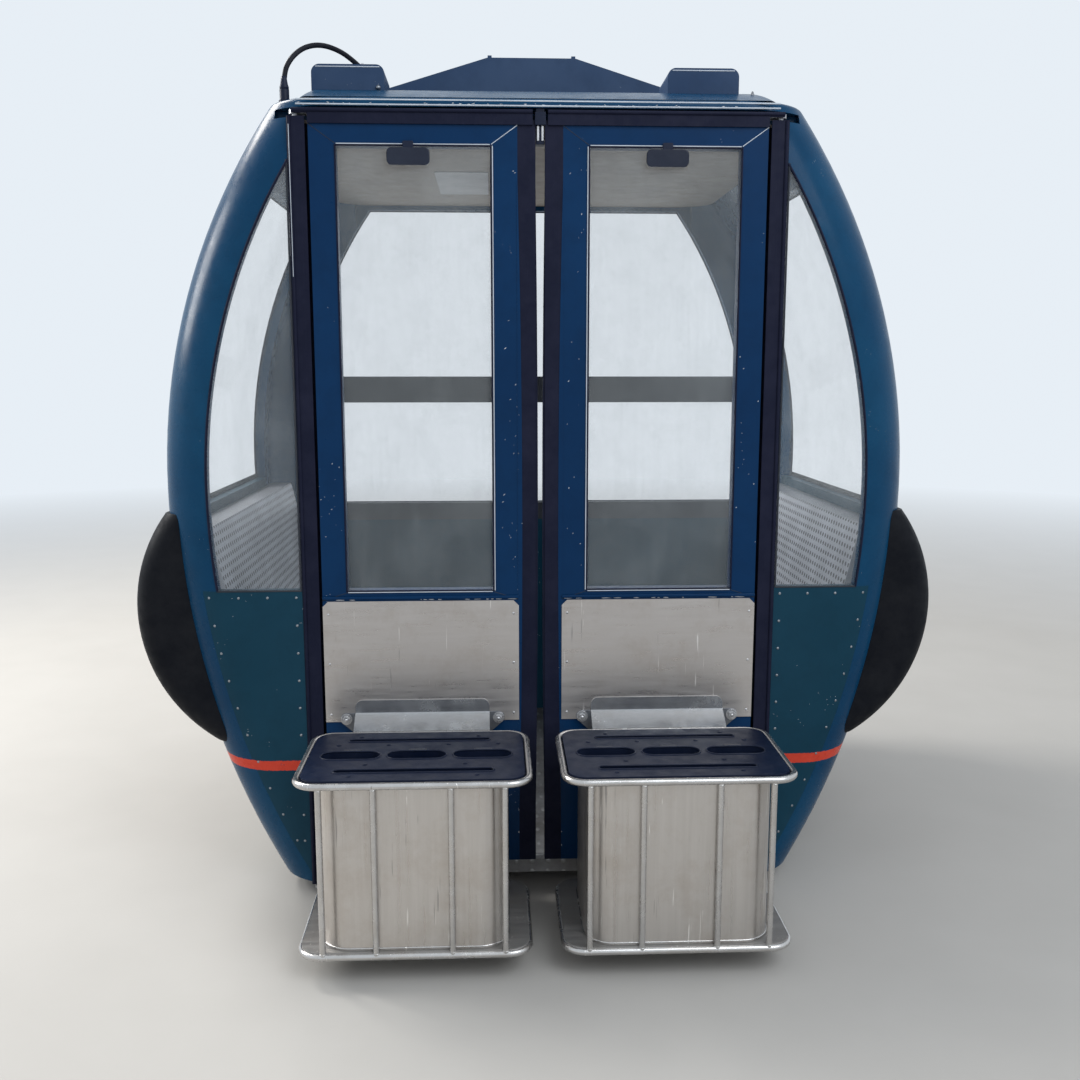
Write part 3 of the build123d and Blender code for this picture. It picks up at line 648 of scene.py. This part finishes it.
# Rivets of the lower panels: spacing, distance from each edge, radius and height of a head
PITCH = 0.075
LONG_PITCH = 0.085
UNDER_BELT = 0.018
FROM_POST = 0.014
FROM_FRAME = 0.016
HEAD = (0.0036, 0.0014)
for name, side in SIDES:
    spots = []
    rows = int((BELT_HEIGHT - 0.08) / PITCH)
    for i in range(rows + 1):
        h = BELT_HEIGHT - UNDER_BELT - i * PITCH
        for x in (half_width(h, POST_LOWER_WIDTH + FROM_POST), OPENING_HALF + FROM_FRAME):
            found = hit(f"front_panel_{name}", (side * x, -1.2, level(h)), (0, 1, 0))
            if found:
                spots.append(found)
    x = OPENING_HALF + FROM_FRAME + PITCH
    while x < half_width(BELT_HEIGHT, POST_LOWER_WIDTH + 0.04):
        start = (side * x, -1.2, level(BELT_HEIGHT - UNDER_BELT))
        found = hit(f"front_panel_{name}", start, (0, 1, 0))
        if found:
            spots.append(found)
        x += PITCH
    rivets(f"panel_rivets_{name}", spots, *HEAD, rivet_steel, "cabin", "galvanised_steel")
    end = []
    for i in range(12):
        h = END_SILL_TOP - 0.02 - i * LONG_PITCH
        for y in (-POST_END + FROM_FRAME, POST_END - FROM_FRAME):
            found = hit(f"end_panel_{name}", (side * 1.4, y, level(h)), (-side, 0, 0))
            if found:
                end.append(found)
    rivets(f"end_rivets_{name}", end, *HEAD, rivet_steel, "cabin", "galvanised_steel")
rear_spots = []
for i in range(10):
    h = BELT_HEIGHT - UNDER_BELT - i * LONG_PITCH
    for side in (-1, 1):
        x = side * half_width(h, POST_LOWER_WIDTH + FROM_POST)
        found = hit("rear_panel", (x, 1.2, level(h)), (0, -1, 0))
        if found:
            rear_spots.append(found)
for i in range(-9, 10):
    found = hit("rear_panel", (i * LONG_PITCH, 1.2, level(BELT_HEIGHT - UNDER_BELT)), (0, -1, 0))
    if found:
        rear_spots.append(found)
rivets("rear_rivets", rear_spots, *HEAD, rivet_steel, "cabin", "galvanised_steel")

# Door leaves
for name, side in SIDES:
    body = f"door_leaf_{name}"
    heights = [WINDOW_BOTTOM + (WINDOW_TOP - WINDOW_BOTTOM) * i / 20 for i in range(21)]
    inner = [(side * (LEAF_INNER + STILE), FRONT, level(h)) for h in heights]
    far = side * (LEAF_OUTER - STILE)
    outer = [(far, FRONT, level(WINDOW_TOP)), (far, FRONT, level(WINDOW_BOTTOM))]
    tube(f"door_gasket_{name}", [inner + outer], 0.0030, seal_rubber, body, True)
    y = FRONT - 0.0022
    shift = side * 0.0030
    bright = []
    for h, near in ((WINDOW_TOP + 0.003, inner[-1][0]), (WINDOW_BOTTOM - 0.003, inner[0][0])):
        bright.append([(far - shift, y, level(h)), (near + shift, y, level(h))])
    bright.append([(x - shift, y, z) for x, _, z in inner])
    tube(f"door_sealant_{name}", bright, 0.0013, sealant_and_highlight, body)

    seams = []
    for edge_x, corner in ((LEAF_INNER, inner[-1]), (LEAF_OUTER, (far, 0, 0))):
        seams.append([
            (side * edge_x, FRONT - 0.0002, level(LEAF_TOP - 0.012)),
            (corner[0], FRONT - 0.0002, level(WINDOW_TOP + 0.004)),
        ])
    for edge_x, corner in ((LEAF_INNER, inner[0]), (LEAF_OUTER, (far, 0, 0))):
        seams.append([
            (side * edge_x, FRONT - 0.0002, level(KICK_TOP + 0.002)),
            (corner[0], FRONT - 0.0002, level(WINDOW_BOTTOM - 0.004)),
        ])
    # One top mitre seam on each leaf is pale, a painted highlight; the other three stay dark
    # joints.
    pale = 0 if side < 0 else 1
    tube(f"mitre_seam_highlight_{name}", [seams.pop(pale)], 0.0011, sealant_and_highlight, body)
    tube(f"mitre_seams_{name}", seams, 0.0007, finishes["dark_trim"], body)

    half = (LEAF_OUTER - LEAF_INNER) / 2
    middle = side * (LEAF_OUTER + LEAF_INNER) / 2
    ledge = [(-half, -0.004), (half, -0.004), (half, 0.004), (-half, 0.004)]
    plate(
        f"door_ledge_{name}", [(middle, FRONT, level(LEDGE_HEIGHT))], ledge, 0.006,
        finishes["door_paint"], body, 0.0018,
    )

    # Dark plate with its neck at the window's top
    plate_x = -0.327 if side < 0 else 0.318
    y = FRONT - 0.0005
    plate(
        f"window_plate_{name}", [(plate_x, y, level(1.911))], rounded(0.106, 0.042, 0.012),
        0.010, dark_mirror, body, 0.002,
    )
    plate(
        f"window_plate_neck_{name}", [(plate_x, y, level(1.937))], rounded(0.026, 0.022, 0.003),
        0.007, finishes["black_plastic"], body, 0.001,
    )

    # Bowed edge of the frame and of its rubber lip
    for piece, edge, most, y, material, slot in (
        ("edge", LEAF_INNER, BOW, FRONT - 0.0010, finishes["door_paint"], "door_paint"),
        ("lip", SEAL_EDGE, 0.006, FRONT + 0.004, seal_rubber, "black_rubber"),
    ):
        reach = BOW_REACH * (LEAF_TOP - LEAF_BOTTOM) / 2
        steps = [(LEAF_TOP + LEAF_BOTTOM) / 2 + reach * (i / 16 - 1) for i in range(33)]
        strip = [(side * (edge - bow(h, most)), level(h)) for h in steps]
        strip += [(side * (edge + 0.002), level(h)) for h in reversed(steps)]
        mesh = bmesh.new()
        prism(mesh, strip, (0, y, 0), X, Z, Y * (0.0012 if piece == "edge" else 0.018))
        solid(f"leaf_{piece}_{name}", mesh, material, body)

    # Rubber header with a bead along its top
    mesh = bmesh.new()
    for start, stop, low in (
        (HEADER_START, LEAF_OUTER, LEAF_TOP - 0.012), (LEAF_OUTER, HEADER_END, 2.012)
    ):
        corners = [(side * start, level(low)), (side * stop, level(low))]
        corners += [(side * stop, level(HEADER_TOP)), (side * start, level(HEADER_TOP))]
        prism(mesh, corners, (0, FRONT, 0), X, Z, -Y * HEADER_DEPTH)
    solid(f"door_header_{name}", mesh, seal_rubber, body)
    y = FRONT - HEADER_DEPTH
    line = [(side * x, y, level(HEADER_TOP)) for x in (HEADER_START, HEADER_END)]
    tube(f"header_bead_{name}", [line], 0.005, seal_rubber, body)

    # Ears and side plates of the basket's bracket
    outlines = []
    for k in (-1, 1):
        root, bolt_x = k * (BRACKET_HALF - EAR_RADIUS), k * (BRACKET_HALF + EAR_BOLT)
        turns = [math.pi / 2 - math.pi * 0.75 * i / 8 for i in range(9)]
        ear = [
            (bolt_x + k * EAR_RADIUS * math.cos(a), EAR_HEIGHT + EAR_RADIUS * math.sin(a))
            for a in turns
        ]
        outlines.append([(root, 0.486), *ear, (root, 0.4137)])
    mesh = bmesh.new()
    for ear in outlines:
        base = (side * LEAF_MIDDLE, FRONT - KICK_SHEET, level(0))
        prism(mesh, ear, base, X, Z, -Y * EAR_SHEET)
    soften(solid(f"bracket_ears_{name}", mesh, ear_steel, body), 0.0008)
    mesh = bmesh.new()
    for k in (-1, 1):
        base = (side * LEAF_MIDDLE + k * WEB_X, 0, level(0))
        web = [(-0.7068, 0.4865), (-0.7598, 0.4530), (-0.7598, 0.411), (-0.7068, 0.377)]
        prism(mesh, web, base, Y, Z, -X * k * 0.004)
    soften(solid(f"bracket_webs_{name}", mesh, bracket_steel, body), 0.0006)

    # Bolts on the bracket's ears, and rivets of the kick plate
    ears = []
    for k in (-1, 1):
        x = side * LEAF_MIDDLE + k * (BRACKET_HALF + EAR_BOLT)
        ears.append(((x, FRONT - KICK_SHEET - EAR_SHEET, level(EAR_HEIGHT)), (0, -1, 0)))
    bolts(f"bracket_bolts_{name}", ears, 0.016, 0.012, bolt_steel, body)
    heads = []
    for h in (KICK_BOTTOM + 0.02, 0.62, KICK_TOP - 0.035):
        for x in (LEAF_INNER + 0.014, LEAF_OUTER - 0.014):
            heads.append(((side * x, FRONT - KICK_SHEET, level(h)), (0, -1, 0)))
    rivets(f"kick_rivets_{name}", heads, 0.0035, 0.0012, bolt_steel, body, "galvanised_steel")

    flakes = []
    for _ in range(12):
        h = dice.uniform(0.83, 1.9)
        x = LEAF_INNER + dice.uniform(0.004, STILE - 0.008)
        length, width = dice.uniform(0.002, 0.007), dice.uniform(0.001, 0.002)
        flakes.append((side * x, h, length, width, dice.uniform(0.2, 1.4)))
    for _ in range(18):
        h = dice.uniform(0.1, 1.9)
        x = LEAF_INNER - bow(h, BOW) + 0.0015
        flakes.append((side * x, h, 0.002, dice.uniform(0.003, 0.010), 0.0))
    for _ in range(5):
        h = dice.uniform(0.83, 1.7)
        x = LEAF_OUTER - dice.uniform(0.004, 0.06)
        flakes.append((side * x, h, 0.004, 0.002, dice.uniform(0.2, 1.2)))
    chips(f"leaf_chips_{name}", flakes, body, FRONT)
    flakes = []
    x = 0.06
    while x < LEAF_OUTER - 0.03:
        length = dice.uniform(0.004, 0.030)
        if dice.random() < 0.62:
            width = dice.uniform(0.0015, 0.003)
            flakes.append((side * (x + length / 2), 0.7925, length, width, 0.0))
        x += length + dice.uniform(0.002, 0.014)
    chips(f"ledge_chips_{name}", flakes, body, FRONT - 0.0002)

# Chips on the cap rail, and two on the left lower panel
flakes = []
for _ in range(70):
    x, h = dice.uniform(-0.60, 0.60), dice.uniform(2.0315, 2.0385)
    length, width = dice.uniform(0.002, 0.010), dice.uniform(0.001, 0.0022)
    flakes.append((x, h, length, width, dice.uniform(-0.3, 0.3)))
chips("cap_rail_chips", flakes, "cabin", FRONT, "post_paint")
chips(
    "panel_flakes", [(-0.746, 0.690, 0.008, 0.021, 0.1), (-0.724, 0.673, 0.008, 0.024, -0.1)],
    "cabin", -0.6965, "panel_paint",
)

# Latch housing between the leaves, with its front strip and two bars
mesh = bmesh.new()
for x, y, h in (
    ((-0.0105, 0.0105), (-0.695, -0.665), (1.944, 2.030)),
    ((-0.0135, 0.0135), (-0.706, -0.7005), (1.988, 2.019)),
    ((-0.0105, 0.0105), (-0.7005, -0.695), (1.996, 2.011)),
):
    base = [(x[i], level(h[j])) for i, j in ((0, 0), (1, 0), (1, 1), (0, 1))]
    prism(mesh, base, (0, y[0], 0), X, Z, Y * (y[1] - y[0]))
latch = solid("latch_housing", mesh, finishes["black_plastic"], "cabin")
soften(latch, 0.0015)
plate(
    "latch_bars", [(-0.0055, -0.695, level(1.970)), (0.0055, -0.695, level(1.970))],
    rounded(0.005, 0.036, 0.001), 0.003, bolt_steel, "cabin", 0.0005,
)

# Beads of the jambs, and rubber lips behind the leaves' outer edges
for name, side in SIDES:
    line = [(side * JAMB_BEAD_X, FRONT, level(h)) for h in (0.002, FRAME_BOTTOM - 0.002)]
    tube(f"jamb_bead_{name}", [line], 0.005, seal_rubber, "cabin")
    plate(
        f"jamb_lip_{name}", [(side * 0.584, -0.6475, level(1.003))],
        rounded(0.036, 1.99, 0.002), 0.004, seal_rubber, "cabin", 0.0008,
    )

# Pale line on the upper part of the left jamb's bead: a painted highlight.
line = [(-JAMB_BEAD_X, FRONT - 0.0046, level(h)) for h in (1.62, 1.985)]
tube("jamb_bead_highlight", [line], 0.0009, sealant_and_highlight, "cabin")

# Closing sheets at the upper rear corners, between the posts and the window's curved edge
SHEET_LOW = 1.75
for name, side in SIDES:
    steps = [SHEET_LOW + (FRAME_BOTTOM - SHEET_LOW) * i / 30 for i in range(31)]
    steps = [h for h in steps if half_width(h, POST_UPPER_WIDTH) < OPENING_HALF - 0.0005]
    sheet = [(side * (half_width(h, POST_UPPER_WIDTH) - 0.001), level(h)) for h in steps]
    sheet += [(side * (OPENING_HALF + 0.001), level(h)) for h in reversed(steps)]
    mesh = bmesh.new()
    prism(mesh, sheet, (0, REAR - 0.032, 0), X, Z, Y * 0.026)
    solid(f"rear_corner_upper_{name}", mesh, finishes["post_paint"], "cabin")
plate(
    "sill_strip", [(0, -0.650, level(0.046))], rounded(1.15, 0.014, 0.002), 0.004,
    finishes["galvanised_steel"], "cabin", 0.001,
)

# Basket details
for name, side in SIDES:
    body = f"door_leaf_{name}"
    x0 = side * LEAF_MIDDLE
    plate_top = level(BASKET_TOP)
    lips = []
    for k in (-1, 0, 1):
        outline = [
            (
                x0 + k * OVAL_PITCH + sx * 0.045 + 0.0285 * math.cos(a),
                BASKET_Y + 0.0285 * math.sin(a), plate_top,
            )
            for sx, start in ((1, -math.pi / 2), (-1, math.pi / 2))
            for a in (start + math.pi * i / 10 for i in range(11))
        ]
        lips.append(outline)
    for y, reach, radius in (
        (BASKET_Y + SLOT_OFFSET, 0.171, 0.0095), (BASKET_Y - SLOT_OFFSET, 0.179, 0.0115)
    ):
        lips.append([
            (x0 + sx * reach + radius * math.cos(a), y + radius * math.sin(a), plate_top)
            for sx, start in ((1, -math.pi / 2), (-1, math.pi / 2))
            for a in (start + math.pi * i / 8 for i in range(9))
        ])
    tube(f"slot_lips_{name}", lips, 0.0022, finishes["black_plastic"], body, True)
    clips = []
    for v, reaches in (
        (0.075, (-0.20, -0.075, 0.075, 0.20)), (-0.062, (-0.12, 0.12)),
        (0.135, (-0.15, 0.15)), (-0.137, (-0.15, 0.15)),
    ):
        clips += [((x0 + u, BASKET_Y + v, plate_top), (0, 0, 1)) for u in reaches]
    rivets(
        f"top_clips_{name}", clips, 0.0065, 0.0022,
        finishes["black_plastic"], body, "black_plastic",
    )
    # Dark pads on the plate just behind each oval: painted shade where the notches show dark.
    notch_shade = bmesh.new()
    for k in (-1, 0, 1):
        corner = (x0 + k * OVAL_PITCH, BASKET_Y + 0.037, plate_top)
        prism(notch_shade, rounded(0.044, 0.013, 0.001), corner, X, Y, Z * 0.0004)
    solid(f"notch_shade_pads_{name}", notch_shade, dark_mirror, body)
    rim = rounded(0.449, 0.3354, 0.070, 8)
    tube(
        f"liner_rim_{name}", [[(x0 + u, BASKET_Y + v, level(0.040)) for u, v in rim]], 0.0022,
        finishes["stainless_steel"], body, True,
    )
    welds = []
    for dx in (-0.215, -0.090, 0.090, 0.215):
        for h in (0.0325, 0.4365):
            ring = [(x0 + dx + u, BASKET_FRONT_Y + v, level(h)) for u, v in ring_points(0.0069, 14)]
            welds.append(ring)
    tube(
        f"basket_welds_{name}", welds, 0.0015,
        finishes["stainless_steel"], body, True,
    )

# Pale lines along the cap rail's front edges: painted highlights
for label, h, y in (("upper", 2.0455, -0.6975), ("lower", 2.0335, -0.7002)):
    line = [(x, y, level(h)) for x in (-0.60, 0.60)]
    tube(f"cap_rail_highlight_{label}", [line], 0.0021, sealant_and_highlight, "cabin")

# Roof boxes: a pale line along the front of each lid, and a small pin; a spike on the roof
for name, x in (("left", -0.495), ("right", 0.441)):
    edge = [(x - 0.083, -0.505, level(2.1715)), (x + 0.083, -0.505, level(2.1715))]
    tube(f"vent_edge_{name}", [edge], 0.0016, sealant_and_highlight, "cabin")
rivets(
    "vent_pin", [((-0.416, -0.5045, level(2.120)), (0, -1, 0))], 0.007, 0.009,
    rivet_steel, "cabin", "roof_metal",
)
rivets(
    "roof_spike", [((0.560, -0.560, level(2.086)), (0, 0, 1))], 0.006, 0.022,
    ear_steel, "cabin", "roof_metal",
)

# Blank plate under the ceiling
mesh = bmesh.new()
prism(mesh, rounded(0.165, 0.42, 0.01), (-0.215, 0.17, level(1.9905)), X, Y, -Z * 0.002)
solid("ceiling_plate", mesh, primer, "cabin")

# Floor and light
floor_mesh = bmesh.new()
bmesh.ops.create_grid(floor_mesh, x_segments=1, y_segments=1, size=40)
floor_data = bpy.data.meshes.new("studio_floor")
floor_mesh.to_mesh(floor_data)
floor_mesh.free()
floor = bpy.data.objects.new("studio_floor", floor_data)
floor.location = (0, 0, level(-0.047))
bpy.context.collection.objects.link(floor)
floor_finish = Finish("studio_floor", (0.45, 0.44, 0.42), 0.8)
axes = floor_finish.axes()
squares = [floor_finish.sum("POWER", axes[k], 2.0) for k in "XY"]
span = floor_finish.sum("SQRT", floor_finish.sum("ADD", *squares))
speckled = floor_finish.blend(floor_finish.noise(3, 5), (0.42, 0.41, 0.39), (0.47, 0.46, 0.44))
floor_finish.set("Base Color", speckled)
glow = floor_finish.add("ShaderNodeEmission", {"Color": (*BACKDROP, 1.0)}, name="far")
fade = floor_finish.add("ShaderNodeMixShader", {0: floor_finish.span(span, 3.5, 11.0)})
tree = floor_finish.tree
tree.links.new(floor_finish.shader.outputs[0], fade.inputs[1])
tree.links.new(glow.outputs[0], fade.inputs[2])
tree.links.new(fade.outputs[0], tree.nodes["Material Output"].inputs["Surface"])
floor_data.materials.append(floor_finish.material)

world = bpy.data.worlds.new("studio")
bpy.context.scene.world = world
world.use_nodes = True
sky = world.node_tree
back = sky.nodes["Background"]
back.inputs["Color"].default_value = (0.93, 0.96, 1.0, 1.0)
back.inputs["Strength"].default_value = 0.75
seen = sky.nodes.new("ShaderNodeBackground")
seen.inputs["Color"].default_value = (*BACKDROP, 1.0)
seen.inputs["Strength"].default_value = 1.0
path = sky.nodes.new("ShaderNodeLightPath")
either = sky.nodes.new("ShaderNodeMath")
either.operation = "MAXIMUM"
sky.links.new(path.outputs["Is Camera Ray"], either.inputs[0])
sky.links.new(path.outputs["Is Glossy Ray"], either.inputs[1])
both = sky.nodes.new("ShaderNodeMath")
both.operation = "MAXIMUM"
sky.links.new(either.outputs[0], both.inputs[0])
sky.links.new(path.outputs["Is Transmission Ray"], both.inputs[1])
mix = sky.nodes.new("ShaderNodeMixShader")
sky.links.new(both.outputs[0], mix.inputs["Fac"])
sky.links.new(back.outputs["Background"], mix.inputs[1])
sky.links.new(seen.outputs["Background"], mix.inputs[2])
sky.links.new(mix.outputs["Shader"], sky.nodes["World Output"].inputs["Surface"])

# name, place, size, power, colour
LAMPS = (
    ("key", (-4.2, 2.6, 3.6), 2.6, 400, (1.0, 0.96, 0.90)),
    ("fill", (2.6, -4.2, 2.4), 3.5, 150, (0.92, 0.96, 1.0)),
    ("rim", (-4.6, 0.3, 0.6), 1.5, 120, (1.0, 0.98, 0.95)),
)
LIT_PLACE = Vector((0, 0, -1.1))
for name, place, size, power, colour in LAMPS:
    lamp = bpy.data.lights.new(name, "AREA")
    lamp.shape = "SQUARE"
    lamp.size = size
    lamp.energy = power
    lamp.color = colour
    thing = bpy.data.objects.new(name, lamp)
    thing.location = place
    thing.rotation_euler = (LIT_PLACE - Vector(place)).to_track_quat("-Z", "Y").to_euler()
    bpy.context.collection.objects.link(thing)

bpy.context.scene.view_settings.view_transform = "Standard"
